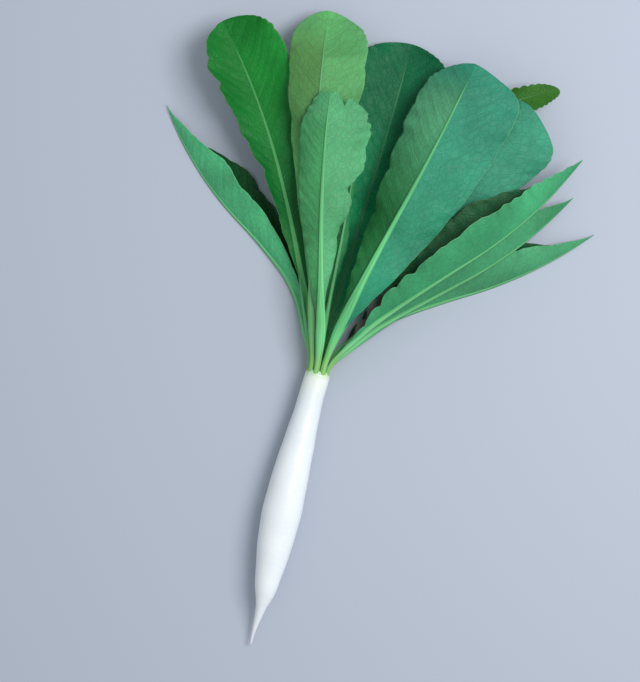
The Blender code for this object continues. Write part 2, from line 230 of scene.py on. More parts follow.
# From the lowest leaf to the one on top: each rests on those before it.
LEAVES = (
    # Painted light: low brightens the lower blade of the back middle leaf, where the leaves above cast
    # shade
    Leaf("leaf_back_middle", (262, 0.0086), 0.320, (0.046, 0.044), (0, 2, 4, 4, 4, 2),
         (0, -12, -6, 0, 0, 4), (92, 92), 74, ruffle=0.0020,
         upper=(0.03, 0.68, 0.70), rib=(0.30, 0.48, 0.52), low=(1.0, 2.6, 2.4)),
    Leaf("leaf_right_low", (302, 0.0086), 0.290, (0.046, 0.032), (0, 33, 48, 58, 61, 42),
         (0, -11, -5, 0, 0, 2), (166, 162), 18, curl=-8, peak=0.58, point=(2.4, 1.35),
         fullness=(0.95, 0.95), lobes=7, sweep=(0.0, 0.1), hinge=0.85,
         under=(0.70, 0.78, 0.67), upper=(0.50, 0.60, 0.55), flush=0.5),
    Leaf("leaf_right_middle", (342, 0.0086), 0.285, (0.038, 0.036), (0, 36, 44, 49, 49, 30),
         (0, -3, -4, 0, 0, 2), (164, 160), 18, curl=-8, peak=0.58, point=(2.4, 1.1),
         fullness=(0.95, 0.95), lobes=7, sweep=(0.0, 0.15), settle=0.2, hinge=0.85,
         under=(0.60, 0.74, 0.62), upper=(0.50, 0.60, 0.55), flush=1.0),
    Leaf("leaf_left_low", (222, 0.0086), 0.290, (0.0335, 0.038), (0, -26, -28, -50, -57, -33),
         (0, -14, -9, -4, 0, 2), (24, 22), 20, curl=-6, peak=0.60, point=(1.4, 2.6),
         fullness=(1.4, 1.45), lobes=7, sweep=(0.1, 0.0), hinge=-0.85,
         under=(0.92, 1.19, 0.98), upper=(0.40, 0.50, 0.35)),
    # Painted light: second brightens the right half high up, where the back left leaf casts shade on it
    Leaf("leaf_left_dark", (182, 0.0086), 0.335, (0.036, 0.044), (0, -16, -22, -24, -27, -40),
         (0, 2, 3, 2, 1, 5), (76, 84), 64, fullness=(1.7, 0.9), ruffle=0.0025, ragged=(0.0042, 0.0),
         upper=(0.16, 0.95, 0.30), low=(0.75, 0.85, 1.1), rib=(0.70, 0.80, 0.65),
         second=((0.9, 0.85, 0.9), (1.6, 1.15, 1.2))),
    Leaf("leaf_tip_right", (270, 0.0022), 0.362, (0.013, 0.017), (0, 10, 14, 17, 18, 72),
         (0, 2, 1, 1, 1, 3), (95, 95), 66, lobes=9, lobe_depth=(0.35, 0.35), stout=0.8,
         upper=(1.50, 0.90, 0.24)),
    Leaf("leaf_right_broad", (30, 0.0022), 0.315, (0.050, 0.034), (0, 15, 21, 25, 28, 32),
         (0, 9, 5, 2, 0, -4), (275, 275), 76, fullness=(2.2, 1.05), lobe_depth=(0.03, 0.05),
         stout=0.8,
         under=(0.38, 0.66, 0.74)),
    Leaf("leaf_right_upper", (22, 0.0086), 0.312, (0.044, 0.0365), (0, 30, 41, 44, 45, 25),
         (0, 8, -1, -1, 0, 2), (158, 154), 21, curl=-2, peak=0.58, point=(2.2, 0.95),
         fullness=(0.95, 0.75), sweep=(0.0, 0.15), settle=0.16, hinge=0.85,
         under=(0.54, 0.82, 0.66), upper=(0.45, 0.50, 0.45), flush=1.0),
    Leaf("leaf_heart", (150, 0.0022), 0.206, (0.012, 0.012), (0, -3, -2, -2, -2, -4),
         (0, 5, 5, 4, 3, 2), (260, 255), 38, peak=0.6, point=(0.8, 0.8), lobes=5,
         lobe_depth=(0.20, 0.20), stout=0.7,
         under=(0.55, 0.75, 0.50)),
    Leaf("leaf_back_left", (142, 0.0086), 0.335, (0.042, 0.032), (0, -14, -14, -12, -10, -6),
         (0, 9, 5, 0, -2, -5), (272, 270), 74, fullness=(1.05, 1.6), lobe_depth=(0.05, 0.05),
         under=(1.05, 0.88, 0.54), rib=(1.1, 0.85, 0.85), second=(PLAIN, (0.93, 0.72, 0.62))),
    # second: partly the left half's own yellower tone, partly painted shade low down, as the light falls
    # from the right
    Leaf("leaf_front_right", (62, 0.0086), 0.321, (0.056, 0.044), (0, 8, 14, 15, 16, 12),
         (0, 14, 8, 0, -4, -13), (282, 284), 68, fullness=(0.95, 1.15), lobes=9,
         lobe_depth=(0.02, 0.09), sweep=(0.30, 0.06), stout=1.15,
         under=(0.33, 0.66, 0.76), rib=(0.88, 1.08, 1.02), low=(0.85, 1.0, 0.88),
         second=((0.53, 0.55, 0.26), (2.7, 1.22, 1.0))),
    Leaf("leaf_front_middle", (102, 0.0086), 0.257, (0.042, 0.028), (0, -6, -13, -13, -12, -6),
         (0, 16, 9, 1, -4, -15), (280, 282), 66, peak=0.80, fullness=(1.8, 1.05), lobes=7,
         lobe_depth=(0.20, 0.03), blunt=0.5, notch=0.003, stout=1.15,
         under=(0.98, 0.93, 0.75), rib=(1.1, 1.15, 1.1),
         second=((0.70, 0.86, 0.70), (0.75, 0.90, 0.76))),
)


def colour_property(name, description, default):
    """A colour that the panel shows as a swatch, in linear RGB."""
    return FloatVectorProperty(
        name=name, description=description, default=default, size=3, min=0.0, max=1.0, subtype="COLOR"
    )


def length_property(name, description, default):
    """A length in metres."""
    return FloatProperty(
        name=name, description=description, default=default, min=0.0, precision=5,
        subtype="DISTANCE", unit="LENGTH",
    )


class RootLooks(bpy.types.PropertyGroup):
    """Colours and relief of the root."""

    skin: colour_property("Skin", "White of the root's skin", (0.79, 0.83, 0.855))
    crown: colour_property("Crown", "Green of the crown's rim", (0.50, 0.72, 0.42))
    tail: colour_property("Tail", "Tint of the thin tail", (0.62, 0.50, 0.70))
    unevenness: length_property("Unevenness", "Height of the broad swells of the skin", 0.00022)
    scar_depth: length_property("Scar depth", "Depth of the small dents of side roots", 0.00028)


class LeafLooks(bpy.types.PropertyGroup):
    """Colours and relief of the leaves."""

    under: colour_property("Underside", "Green of the undersides", (0.080, 0.376, 0.195))
    upper: colour_property("Upper side", "Green of the upper sides", (0.021, 0.171, 0.061))
    rib: colour_property("Midrib", "Pale green of midribs and stalks", (0.17, 0.56, 0.24))
    stalk_foot: colour_property("Stalk foot", "Colour where the stalks leave the crown", (0.24, 0.50, 0.15))
    pucker: length_property("Pucker", "Height of the blade between its side veins", 0.00070)
    vein_spacing: length_property("Vein spacing", "Distance between side veins along the midrib", 0.013)
    vein_relief: length_property("Vein relief", "Height of the fine veins", 0.00025)
    roughness: FloatProperty(
        name="Roughness", description="Roughness of the blades", default=0.52,
        min=0.0, max=1.0, subtype="FACTOR",
    )


class StageLooks(bpy.types.PropertyGroup):
    """Floor and light."""

    floor: colour_property("Floor", "Colour of the plain floor", (0.42, 0.46, 0.54))
    key: FloatProperty(
        name="Key light", description="Power of the large soft light", default=22.5, unit="POWER"
    )
    sky: FloatProperty(name="Sky", description="Strength of the even light from all round", default=0.58)


def hermite(x, knots, values):
    """A smooth curve through the knots, with the slope at each taken from its two neighbours."""
    knots, values = np.asarray(knots, float), np.asarray(values, float)
    slopes = np.gradient(values, knots)
    i = np.clip(np.searchsorted(knots, x, side="right") - 1, 0, len(knots) - 2)
    span = knots[i + 1] - knots[i]
    t = (x - knots[i]) / span
    return (
        values[i] * (1 + 2 * t) * (1 - t) ** 2
        + slopes[i] * span * t * (1 - t) ** 2
        + values[i + 1] * t * t * (3 - 2 * t)
        + slopes[i + 1] * span * t * t * (t - 1)
    )


def smoothstep(x):
    """Three times the square less twice the cube: a rise from 0 to 1 that is level at both ends."""
    x = np.clip(x, 0.0, 1.0)
    return x * x * (3 - 2 * x)


def turned(angle):
    """The direction (cos, sin) of an angle in radians, with the pair on the last axis."""
    return np.stack([np.cos(angle), np.sin(angle)], axis=-1)


def swells(seed, count, *axes):
    """Slow waves with no period: the sum of a few sines over the square root of their number.

    The speed of each along every axis, and its phase, are drawn once from the seed.
    """
    draw = np.random.default_rng(seed)
    total = 0.0
    for _ in range(count):
        speeds = draw.uniform(-1, 1, len(axes)) * 2 * np.pi
        total = total + np.sin(sum(s * a for s, a in zip(speeds, axes)) + draw.uniform(0, 2 * np.pi))
    return total / np.sqrt(count)


def leaf_swells(leaf, kind, count, *axes):
    """Slow waves of one kind on one leaf, unlike those of the other kinds and leaves."""
    return swells(int(leaf.seat[0]) + kind, count, *axes)


def root_axis(share):
    """Points of the root's centre line, at shares of its length from the crown.

    It bows aside by half a wave of a sine, and the tail bends and drops from there by a smooth step.
    """
    bow = ROOT_BOW * (np.sin(np.pi * BELLY_AT / ROOT_LENGTH) - np.sin(np.pi * share))
    tail = smoothstep((share - TAIL_START) / (1 - TAIL_START))
    x = bow - TAIL_BEND * tail
    y = BELLY_AT - share * ROOT_LENGTH
    z = BELLY_RADIUS - BELLY_SINK - TAIL_DROP * tail
    return np.stack([x, y, z], axis=-1)


def blade_share(step):
    """Share of the leaf's length at an even step along the blade, from 0 at its foot to 1 at its tip.

    Most of it is a quarter wave of a sine, so that the steps grow short towards the tip.
    """
    return PETIOLE_SHARE + (1 - PETIOLE_SHARE) * (0.15 * step + 0.85 * np.sin(step * np.pi / 2))


def blade_step(share):
    """The even step along the blade at a share of the leaf's length, the inverse of blade_share."""
    fine = np.linspace(0, 1, 201)
    return np.interp(share, blade_share(fine), fine)


def stations(leaf):
    """Shares of the leaf's length at the solid's cross sections, closer together towards the tip."""
    petiole = PETIOLE_SHARE * np.array(PETIOLE_STATIONS)
    blade = blade_share(np.linspace(0, 1, STATIONS_PER_LOBE * leaf.lobes + 1))
    return np.concatenate([petiole, blade])


def midrib(leaf, share):
    """Points along the midrib, its direction, the level side direction and the one above, at shares.

    Heading and pitch change evenly between the shares BEND_AT, and the points are the running sum of
    short steps that way.
    """
    heading = np.radians(np.interp(EVEN, BEND_AT, leaf.heading))
    pitch = np.radians(np.interp(EVEN, BEND_AT, leaf.pitch))
    along = np.stack(
        [np.sin(heading) * np.cos(pitch), np.cos(heading) * np.cos(pitch), np.sin(pitch)], axis=-1
    )
    steps = (along[1:] + along[:-1]) / 2 * leaf.length / FINE_STEPS
    angle, distance = np.radians(leaf.seat[0]), leaf.seat[1]
    start = root_axis(0.0) + (distance * np.cos(angle), CROWN_GAP, distance * np.sin(angle))
    points = start + np.concatenate([np.zeros((1, 3)), np.cumsum(steps, axis=0)])
    side = np.stack([np.cos(heading), -np.sin(heading), np.zeros_like(heading)], axis=-1)
    above = np.cross(side, along)
    curves = (points, along, side, above)
    return [np.stack([np.interp(share, EVEN, v[:, i]) for i in range(3)], -1) for v in curves]


def past_peak(leaf, share):
    """How far along the part beyond the widest place, from 0 there to 1 at the tip."""
    along = np.clip((share - PETIOLE_SHARE) / (1 - PETIOLE_SHARE), 0, 1)
    return np.clip((along - leaf.peak) / (1 - leaf.peak), 0, 1)


def half_widths(leaf, share, hand):
    """Half width of the blade at shares of the leaf's length, with its lobes, for one of its halves.

    It rises as a quarter wave of a sine up to the widest place, and narrows beyond it as one less the
    square of the way, to the power of the point. Between the arches of the lobes it is cut in.
    """
    along = np.clip((share - PETIOLE_SHARE) / (1 - PETIOLE_SHARE), 0, 1)
    rise = np.sin(np.pi / 2 * np.clip(along / leaf.peak, 0, 1) ** leaf.fullness[hand])
    narrowing = (1 - (1 - leaf.blunt**2) * past_peak(leaf, share) ** 2) ** leaf.point[hand]
    step = leaf.lobes * blade_step(share)
    wave = np.abs(np.sin(np.pi * (step + hand / STATIONS_PER_LOBE)))
    uneven = 1.2 + 0.6 * np.sin(2.4 * step + leaf.seat[0] + hand)
    cuts = leaf.lobe_depth[hand] * uneven * (1 - wave) * smoothstep((0.98 - along) / 0.35)
    return leaf.half_width[hand] * rise * narrowing * (1 - cuts)


def teeth(leaf, share, hand):
    """Depth of the cuts between the small teeth: each tooth is an arch of a sine, fading to the tip.

    A ragged leaf has large uneven arches too, and a flushed one has rounded lobes at its foot.
    """
    step = blade_step(share)
    wave = np.abs(np.sin(np.pi * (leaf.lobes * step * TEETH_PER_LOBE + 0.37 + 0.4 * hand)))
    strength = 0.5 + 0.5 * leaf_swells(leaf, TOOTH_SEED + hand, 3, share * 9)
    strength = np.clip(strength, 0.15, 1.0) * min(0.3 + 8 * leaf.lobe_depth[hand], 1.6)
    width = np.clip(half_widths(leaf, share, hand) / max(leaf.half_width), 0, 1)
    small = TOOTH_DEPTH * strength * (1 - wave)
    turn = np.pi * (RAGGED_LOBES * step + 0.5 * leaf_swells(leaf, RAGGED_SEED, 3, share * 6))
    large = leaf.ragged[hand] * (1 - np.abs(np.sin(turn)) ** 0.8)
    foot = FOOT_LOBE_DEPTH * min(leaf.flush, 1.0) * smoothstep((FOOT_LOBES_END - share) / 0.12)
    foot = foot * (1 - np.abs(np.sin(np.pi * share * FOOT_LOBES + hand)) ** 0.8)
    return (small + large) * smoothstep((width - 0.1) / 0.3) + foot * smoothstep((width - 0.05) / 0.2)


def petiole_half_width(leaf, share):
    """Half width of the stalk and midrib: narrow in the crown, swelling, then tapering to the tip."""
    form = hermite(share, (0, 0.04, 0.12, 0.3, 0.65, 1.0), (1.0, 1.05, 1.6, 1.0, 0.5, 0.18))
    return leaf.stout * PETIOLE_HALF_WIDTH * form


# What a leaf's cross sections need at each station, worked out once from its shares
Course = namedtuple("Course", "share centre along side above face fold curl rib inner width")


def course(leaf, share, fine=False):
    """The course of a leaf at shares of its length, with the teeth and thinner edges of the fine one."""
    centre, along, side, above = midrib(leaf, share)
    seat_face = leaf.seat[0] + (180 if leaf.seat[0] < leaf.face[0] else -180)
    face = seat_face + (leaf.face[0] - seat_face) * smoothstep(share / leaf.settle)
    face = np.radians(face + (leaf.face[1] - leaf.face[0]) * smoothstep((share - 0.3) / 0.7))
    curl = np.radians(leaf.curl) * smoothstep((share - 0.05) / 0.25)
    rib = petiole_half_width(leaf, np.maximum(share, 0.0))
    if fine:
        rib = rib * (1 - 0.6 * smoothstep((share - 0.86) / 0.12))
    least = rib * 1.02 * (1 - 0.9 * smoothstep((share - 0.9) / 0.1))
    least = np.maximum(least, FINE_TIP_HALF_WIDTH if fine else TIP_HALF_WIDTH)
    width = [half_widths(leaf, share, hand) for hand in (0, 1)]
    if fine:
        width = [w - teeth(leaf, share, hand) for hand, w in enumerate(width)]
    width = tuple(np.maximum(w, least) for w in width)
    inner = np.minimum(np.maximum(rib, LEAST_INNER), 0.45 * np.minimum(*width))
    thickness = SHEET_THICKNESS if fine else BLADE_THICKNESS
    fold = np.radians(RIB_FOLD + (leaf.fold - RIB_FOLD) * smoothstep((share - 0.03) / 0.22))
    # A fold too narrow for the sheet's thickness opens, so that its two sides don't cross
    opened = np.maximum(np.arcsin(np.clip(OPENING * thickness / inner, 0, 1)) - fold, 0)
    face, fold = face + leaf.hinge * opened, fold + opened
    return Course(share, centre, along, side, above, face, fold, curl, rib, inner, width)


def arc_across(way, hand, distance):
    """Across one half, at distances from the midrib: share of the way to the edge, places and normals.

    The half is an arc that starts at the fold's slope and turns by the curl until its edge.
    """
    sign = -1 if hand else 1
    fold, curl, face, width = (v[:, None] for v in (way.fold, way.curl, way.face, way.width[hand]))
    u = distance / width
    reach = distance * np.sinc(curl * u / 2 / np.pi)
    flat = reach[..., None] * turned(face + sign * (fold + curl * u / 2))
    return u, flat, turned(face + sign * (fold + curl * u - np.pi / 2))


def rib_depth(way):
    """How deep the round rib stands out below the blade, at the midrib."""
    return way.rib * PETIOLE_DEPTH / PETIOLE_HALF_WIDTH


def blade_points(leaf, way, hand, lower):
    """Points of one half of the solid's blade, its upper or lower side: edge, middle and rib."""
    width, share, rib = way.width[hand], way.share[:, None], way.rib[:, None]
    distance = np.stack([width, (width + way.inner) / 2, way.inner], axis=1)
    u, flat, facing = arc_across(way, hand, distance)
    bulge = rib_depth(way)[:, None] * np.sqrt(np.clip(1 - (distance / rib) ** 2, 0, 1))
    offset = -BLADE_THICKNESS / 2 - bulge if lower else BLADE_THICKNESS / 2
    flat = flat + (edge_wave(leaf, share, u, hand) + offset)[..., None] * facing
    return in_space(way, flat, reach_ahead(leaf, share, width[:, None], u, hand))


def edge_wave(leaf, share, u, hand):
    """Ruffle of the edge: a sine along the leaf that grows with the square of the way to the edge."""
    wave = np.sin(np.pi * leaf.lobes * blade_step(share) + 1.1 * hand + leaf.seat[0])
    past = past_peak(leaf, share)
    return leaf.ruffle * wave * u**2 * smoothstep((share - 0.15) / 0.3) * (1 - past**2)


def reach_ahead(leaf, share, width, u, hand):
    """How far the blade sweeps towards its tip at the edge, and the dent in the tip's own edge."""
    past = past_peak(leaf, share)
    ahead = leaf.sweep[hand] * width * u**2 * (1 - past**2)
    front = leaf.notch * np.sin(np.pi * u) - 0.2 * leaf.blunt * width * u**2
    return ahead + past**3 * front


def on_midrib(way, height):
    """The column of points over the midrib itself, at a height for each row."""
    flat = height[:, None, None] * turned(way.face)[:, None, :]
    return in_space(way, flat, np.zeros((len(height), 1)))


def in_space(way, flat, ahead):
    """Points given across the leaf and ahead of each row, in the frame of the part."""
    side, above, along = (v[:, None, :] for v in (way.side, way.above, way.along))
    return way.centre[:, None, :] + side * flat[..., :1] + above * flat[..., 1:] + along * ahead[..., None]


def leaf_rings(leaf):
    """Closed cross sections of the solid leaf: 7 points on the upper side, then 7 along the lower."""
    way = course(leaf, stations(leaf))
    heights = (BLADE_THICKNESS / 2 / np.sin(way.fold), -BLADE_THICKNESS / 2 - rib_depth(way))
    sides = []
    for lower, height in enumerate(heights):
        halves = [blade_points(leaf, way, hand, lower) for hand in (0, 1)]
        sides.append(np.concatenate([halves[0], on_midrib(way, height), halves[1][:, ::-1]], axis=1))
    return np.concatenate([sides[0], sides[1][:, ::-1]], axis=1)


def refined(rings):
    """The lofted surface as points: the rings with more in between, both ways."""
    rings = np.concatenate([rings, rings[:, :1]], axis=1)
    for axis in (0, 1):
        rings = np.moveaxis(rings, axis, 0)
        mix = np.linspace(0, 1, LATERAL_STEPS, endpoint=False).reshape(-1, *[1] * rings.ndim)
        between = rings[:-1] * (1 - mix) + rings[1:] * mix
        last = rings[-1:]
        rings = np.concatenate([np.moveaxis(between, 0, 1).reshape(-1, *rings.shape[1:]), last])
        rings = np.moveaxis(rings, 0, axis)
    return rings


def spread(values, reach, how):
    """Each value replaced by the highest or the mean of those within reach of it."""
    ends = [(0, 0)] * (values.ndim - 1) + [(reach, reach)]
    padded = np.pad(values, ends, mode="edge")
    windows = np.lib.stride_tricks.sliding_window_view(padded, 2 * reach + 1, axis=-1)
    return how(windows, axis=-1)


def lifts(leaves):
    """How far each leaf is lifted, at even shares of its length, to lie on the leaves before it."""
    ground = np.zeros(MAP_CELLS)
    reach = round(LIFT_SMOOTHING * FINE_STEPS)
    found = {}
    for leaf in leaves:
        share = stations(leaf)
        points = refined(leaf_rings(leaf))
        cell = ((points[..., :2] - MAP_CORNER) / CELL).astype(int)
        cell = (cell[..., 0], cell[..., 1])
        around = spread(spread(ground, 1, np.max).T, 1, np.max).T
        below = around[cell]
        clear = below + np.where(below > 0, LEAF_GAP, FLOOR_GAP)
        need = np.maximum((clear - points[..., 2]).max(axis=1), 0)
        at = np.interp(np.linspace(0, 1, len(need)), np.linspace(0, 1, len(share)), share)
        lift = spread(spread(np.interp(EVEN, at, need), reach, np.max), reach, np.mean)
        lift *= smoothstep((EVEN * leaf.length - LIFT_FROM) / (LIFT_FULL - LIFT_FROM))
        points[..., 2] += np.interp(at, EVEN, lift)[:, None]
        np.maximum.at(ground, cell, points[..., 2])
        found[leaf.name] = lift
    return found


def fine_shares(leaf):
    """Shares of the fine rows: from inside the crown, along the stalk, then even steps of the blade."""
    stalk = np.linspace(-STALK_SUNK / leaf.length, PETIOLE_SHARE, STALK_ROWS, endpoint=False)
    return np.concatenate([stalk, blade_share(np.linspace(0, 1, BLADE_ROWS))])


def fine_columns(way, hand):
    """Distances from the midrib in the columns of one half: a few on the rib, the rest to the edge."""
    width = way.width[hand][:, None]
    inner = np.minimum(1.25 * way.rib[:, None], 0.75 * width)
    on_rib = inner * np.array(RIB_COLUMNS)
    beyond = inner + (width - inner) * np.linspace(0, 1, BLADE_COLUMNS + 1)[1:]
    return np.concatenate([on_rib, beyond], axis=1)


def pucker_height(leaf, share, distance, width, hand, spacing):
    """Blade between its side veins: arches as tall as the pucker, sunk where a vein leaves the midrib."""
    along = share[:, None] * leaf.length - VEIN_SLANT * distance - VEIN_CURVE * distance**2
    wander = leaf_swells(leaf, VEIN_SEED, 3, along * 30, distance * 20)
    phase = along / spacing + 0.5 * hand + 0.25 * wander
    arch = np.abs(np.sin(np.pi * phase)) ** 0.7 - 0.6
    off_rib = smoothstep(distance / 0.010) * smoothstep(width[:, None] / 0.012)
    return arch * off_rib * (1 - 0.6 * distance / width[:, None])


def half_surface(leaf, way, hand, looks):
    """One half of the fine leaf: points of its upper and lower side, and distances from the midrib.

    Across, the half is an arc that starts at the fold's slope and turns by the curl. It is moved along
    its own normal by the edge's waves, a bow, crinkles, puckers and slow swells. The upper side lies half
    the thickness above it, less the stalk's groove, and the lower one as far below, with the round rib.
    """
    distance = fine_columns(way, hand)
    width, share, rib = way.width[hand], way.share[:, None], way.rib[:, None]
    u, flat, facing = arc_across(way, hand, distance)
    bow = BOW * np.sin(np.pi * u) * smoothstep(width / 0.03)[:, None]
    wave = edge_wave(leaf, share, u, hand) - bow
    crinkle = leaf_swells(leaf, CRINKLE_SEED + hand, 5, share * 26, u * 0.8)
    wave = wave + CRINKLE * crinkle * u**3 * smoothstep(width / 0.02)[:, None]
    pucker = looks.pucker * pucker_height(leaf, way.share, distance, width, hand, looks.vein_spacing)
    slow = SWELL * leaf_swells(leaf, SWELL_SEED + hand, 4, share * 4, distance * 22)
    slow = slow * smoothstep(distance / 0.015) * (1 - past_peak(leaf, share) ** 2)
    on_rib = np.clip(1 - (distance / rib) ** 2, 0, 1)
    bulge = rib_depth(way)[:, None] * np.sqrt(on_rib)
    groove = GROOVE_DEPTH * rib * on_rib * (1 - smoothstep((share - 0.1) / 0.35))
    half = SHEET_THICKNESS / 2 * (1 - 0.5 * u**8)
    middle = flat + (wave + pucker + slow)[..., None] * facing
    upper = middle + (half - groove)[..., None] * facing
    lower = middle - (half + bulge)[..., None] * facing
    ahead = reach_ahead(leaf, share, width[:, None], u, hand)
    cleft = np.exp(-(((u - CLEFT_AT) / CLEFT_SPREAD) ** 2)) * past_peak(leaf, share) ** 3
    ahead = ahead - (CLEFT_DEPTH * cleft if leaf.notch and hand == 0 else 0.0)
    return [in_space(way, side, ahead) for side in (upper, lower)] + [distance]


def middle_column(way):
    """The column on the midrib itself, for the upper and the lower side."""
    groove = GROOVE_DEPTH * way.rib * (1 - smoothstep((way.share - 0.1) / 0.35))
    high = SHEET_THICKNESS / 2 / np.maximum(np.sin(way.fold), 0.5) - groove
    return [on_midrib(way, height) for height in (high, -SHEET_THICKNESS / 2 - rib_depth(way))]


def fine_leaf(leaf, lift, looks):
    """Grids of the whole fine leaf from one edge over the midrib to the other.

    Returns points of the upper and the lower side, the signed distance from the midrib at each, and the
    leaf's course. Rows inside the crown run straight back from the stalk's foot.
    """
    way = course(leaf, fine_shares(leaf), fine=True)
    sunk = way.along * (np.minimum(way.share, 0) * leaf.length)[:, None]
    way = way._replace(centre=way.centre + sunk)
    halves = [half_surface(leaf, way, hand, looks) for hand in (0, 1)]
    middle = middle_column(way)
    sides = []
    for i in (0, 1):
        grid = np.concatenate([halves[0][i][:, ::-1], middle[i], halves[1][i]], axis=1)
        grid[..., 2] = np.maximum(grid[..., 2] + np.interp(way.share, EVEN, lift)[:, None], LOWEST)
        sides.append(grid)
    zero = np.zeros((len(way.share), 1))
    across = np.concatenate([-halves[0][2][:, ::-1], zero, halves[1][2]], axis=1)
    return sides[0], sides[1], across, way


def sheet_faces(rows, columns):
    """Quads of a closed sheet: its upper grid, its lower grid, and strips that join them all round.

    Upper points come first, row by row, then the lower ones in the same order.
    """
    index = np.arange(rows * columns).reshape(rows, columns)
    low = index + rows * columns

    def quads(a, b, c, d):
        return np.stack([a, b, c, d], axis=-1).reshape(-1, 4)

    upper = quads(index[:-1, :-1], index[:-1, 1:], index[1:, 1:], index[1:, :-1])
    lower = quads(low[:-1, :-1], low[1:, :-1], low[1:, 1:], low[:-1, 1:])
    start = quads(index[0, 1:], index[0, :-1], low[0, :-1], low[0, 1:])
    end = quads(index[-1, :-1], index[-1, 1:], low[-1, 1:], low[-1, :-1])
    left = quads(index[:-1, 0], index[1:, 0], low[1:, 0], low[:-1, 0])
    right = quads(index[1:, -1], index[:-1, -1], low[:-1, -1], low[1:, -1])
    return upper, np.concatenate([lower, start, end, left, right])


def new_mesh(name, points, faces):
    """A mesh from an array of points and a list of face arrays, shaded smooth."""
    mesh = bpy.data.meshes.new(name)
    mesh.vertices.add(len(points))
    mesh.vertices.foreach_set("co", points.astype(np.float32).ravel())
    sizes = np.concatenate([np.full(len(f), f.shape[1]) for f in faces])
    mesh.loops.add(int(sizes.sum()))
    mesh.loops.foreach_set("vertex_index", np.concatenate([f.ravel() for f in faces]).astype(np.int32))
    mesh.polygons.add(len(sizes))
    mesh.polygons.foreach_set("loop_start", np.concatenate([[0], np.cumsum(sizes)[:-1]]).astype(np.int32))
    mesh.update(calc_edges=True)
    mesh.shade_smooth()
    return mesh


def set_attribute(mesh, name, values):
    """Three numbers for each vertex, for the material to read."""
    layer = mesh.attributes.new(name, "FLOAT_VECTOR", "POINT")
    layer.data.foreach_set("vector", values.astype(np.float32).ravel())


def set_uv(mesh, pairs):
    """A UV map from one pair for each vertex."""
    corners = np.zeros(len(mesh.loops), np.int32)
    mesh.loops.foreach_get("vertex_index", corners)
    layer = mesh.uv_layers.new(name="along_leaf")
    layer.data.foreach_set("uv", pairs[corners].astype(np.float32).ravel())


def placed(name, mesh, materials, node):
    """The mesh as an object that rides on the radish and stands for one solid of it."""
    for finish in materials:
        mesh.materials.append(finish)
    piece = bpy.data.objects.new(name, mesh)
    bpy.context.scene.collection.objects.link(piece)
    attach(piece, "root")
    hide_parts(node)


class Nodes:
    """Short names for building a material's nodes."""

    def __init__(self, name):
        self.material = bpy.data.materials.new(name)
        self.material.use_nodes = True
        self.tree = self.material.node_tree
        self.shader = self.tree.nodes["Principled BSDF"]

    def add(self, kind, inputs=None, **settings):
        """A node with its settings, and its inputs given by name or number."""
        node = self.tree.nodes.new(kind)
        for key, value in settings.items():
            setattr(node, key, value)
        for key, value in (inputs or {}).items():
            self.give(node.inputs[key], value)
        return node

    def give(self, socket, value):
        """A link where the value is another node's output, or else a plain value."""
        if isinstance(value, bpy.types.NodeSocket):
            self.tree.links.new(value, socket)
        else:
            socket.default_value = value

    def math(self, operation, a, b=0.0):
        """One operation on two numbers."""
        return self.add("ShaderNodeMath", {0: a, 1: b}, operation=operation).outputs[0]

    def times(self, a, b):
        """One number times another."""
        return self.math("MULTIPLY", a, b)

    def plus(self, a, b):
        """One number and another."""
        return self.math("ADD", a, b)

    def attribute(self, name, output):
        """What each vertex carries under a name."""
        node = self.add("ShaderNodeAttribute", attribute_name=name, attribute_type="GEOMETRY")
        return node.outputs[output]

    def ramp(self, value, start, end, low=0.0, high=1.0):
        """A smooth change from low to high as the value goes from start to end."""
        inputs = {"Value": value, "From Min": start, "From Max": end, "To Min": low, "To Max": high}
        return self.add("ShaderNodeMapRange", inputs, interpolation_type="SMOOTHSTEP").outputs[0]

    def mix(self, factor, a, b, blend="MIX"):
        """Two colours mixed by a factor."""
        node = self.add("ShaderNodeMix", data_type="RGBA", blend_type=blend)
        self.give(node.inputs[0], factor)
        self.give(node.inputs[6], a)
        self.give(node.inputs[7], b)
        return node.outputs[2]

    def noise(self, vector, scale, detail=3.0, roughness=0.55):
        """Smooth noise between 0 and 1."""
        inputs = {"Vector": vector, "Scale": scale, "Detail": detail, "Roughness": roughness}
        return self.add("ShaderNodeTexNoise", inputs).outputs["Fac"]

    def cells(self, vector, scale):
        """Distance to the nearest wall of irregular cells."""
        inputs = {"Vector": vector, "Scale": scale}
        node = self.add("ShaderNodeTexVoronoi", inputs, feature="DISTANCE_TO_EDGE")
        return node.outputs["Distance"]

    def shade(self, name, value):
        """A socket of the shader, linked or set."""
        self.give(self.shader.inputs[name], value)

    def bump(self, height, distance):
        """Fine relief, in metres, on the shader's normal."""
        inputs = {"Height": height, "Distance": distance, "Strength": 1.0}
        self.shade("Normal", self.add("ShaderNodeBump", inputs).outputs["Normal"])


def opaque(colour, factor=1.0):
    """A linear colour with its alpha."""
    return (*(min(c * factor, 1.0) for c in colour), 1.0)


